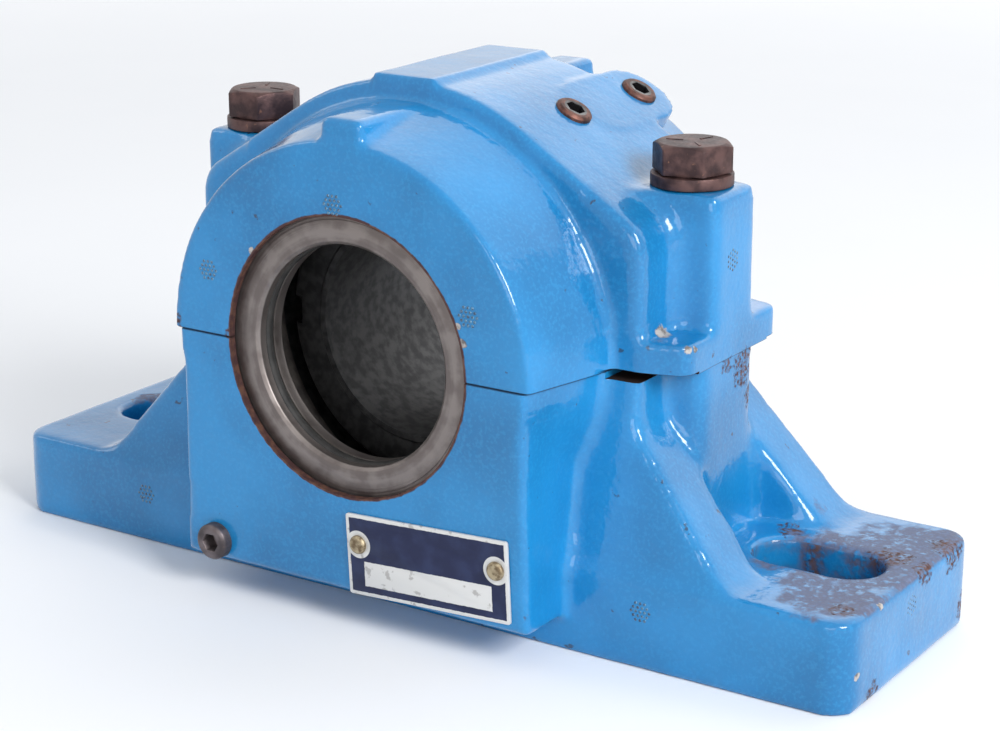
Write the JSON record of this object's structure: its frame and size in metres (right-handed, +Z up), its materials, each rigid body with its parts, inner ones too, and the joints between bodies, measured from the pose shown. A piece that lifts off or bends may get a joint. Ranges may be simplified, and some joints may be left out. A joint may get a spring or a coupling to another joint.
{
  "type": "split plummer block",
  "caption": "Split plummer block: a cast housing in two halves on a slotted foot, holding a spherical roller bearing on an adapter sleeve between labyrinth seals.",
  "frame": {"origin": "middle of the base's bottom face", "axes": "+X along the base, +Y along the shaft and away from the front face with the nameplate, +Z up"},
  "size_m": [0.2794, 0.1198, 0.1472],
  "materials": {
    "housing_paint": "glossy blue enamel over rough cast iron, chipped and rusty at edges",
    "rusty_steel": "plain steel with a thin brown rust",
    "seal_steel": "turned, dull grey",
    "bearing_steel": "ground and polished",
    "cage_steel": "pressed sheet steel, satin",
    "sleeve_steel": "machined and phosphated, dark grey",
    "nameplate_metal": "thin sheet with a printed dark blue field and a bare white window",
    "seal_rubber": "black nitrile"
  },
  "bodies": {
    "housing": {"base_housing": "housing_paint", "cap_housing": "housing_paint", "cap_bolt_left": "rusty_steel", "cap_bolt_right": "rusty_steel", "lock_washer_left": "rusty_steel", "lock_washer_right": "rusty_steel", "dowel_pin_left": "bearing_steel", "dowel_pin_right": "bearing_steel", "grease_plug_centre": "rusty_steel", "grease_plug_side": "rusty_steel", "drain_plug": "rusty_steel", "nameplate": "nameplate_metal", "nameplate_rivet_left": "rusty_steel", "nameplate_rivet_right": "rusty_steel", "bearing_outer_ring": "bearing_steel", "stabilising_ring": "sleeve_steel"},
    "rotor": {"bearing_inner_ring": "bearing_steel", "adapter_sleeve": "sleeve_steel", "lock_nut": "sleeve_steel", "lock_nut_washer": "sleeve_steel", "seal_ring_front": "seal_steel", "seal_ring_rear": "seal_steel", "o_ring_front": "seal_rubber", "o_ring_rear": "seal_rubber"},
    "cage": {"cage_front": "cage_steel", "cage_rear": "cage_steel", "rollers_front_row": "bearing_steel", "rollers_rear_row": "bearing_steel", "guide_ring": "bearing_steel"}
  },
  "joints": [
    {"name": "shaft_spin", "type": "hinge", "parent": "housing", "child": "rotor", "pos_m": [0, 0, 0.0762], "axis": [0, 1, 0], "continuous": true},
    {"name": "cage_spin", "type": "hinge", "parent": "housing", "child": "cage", "pos_m": [0, 0, 0.0762], "axis": [0, 1, 0], "continuous": true}
  ],
  "couplings": [
    {"joint": "cage_spin", "follows": "shaft_spin", "ratio": 0.425}
  ]
}
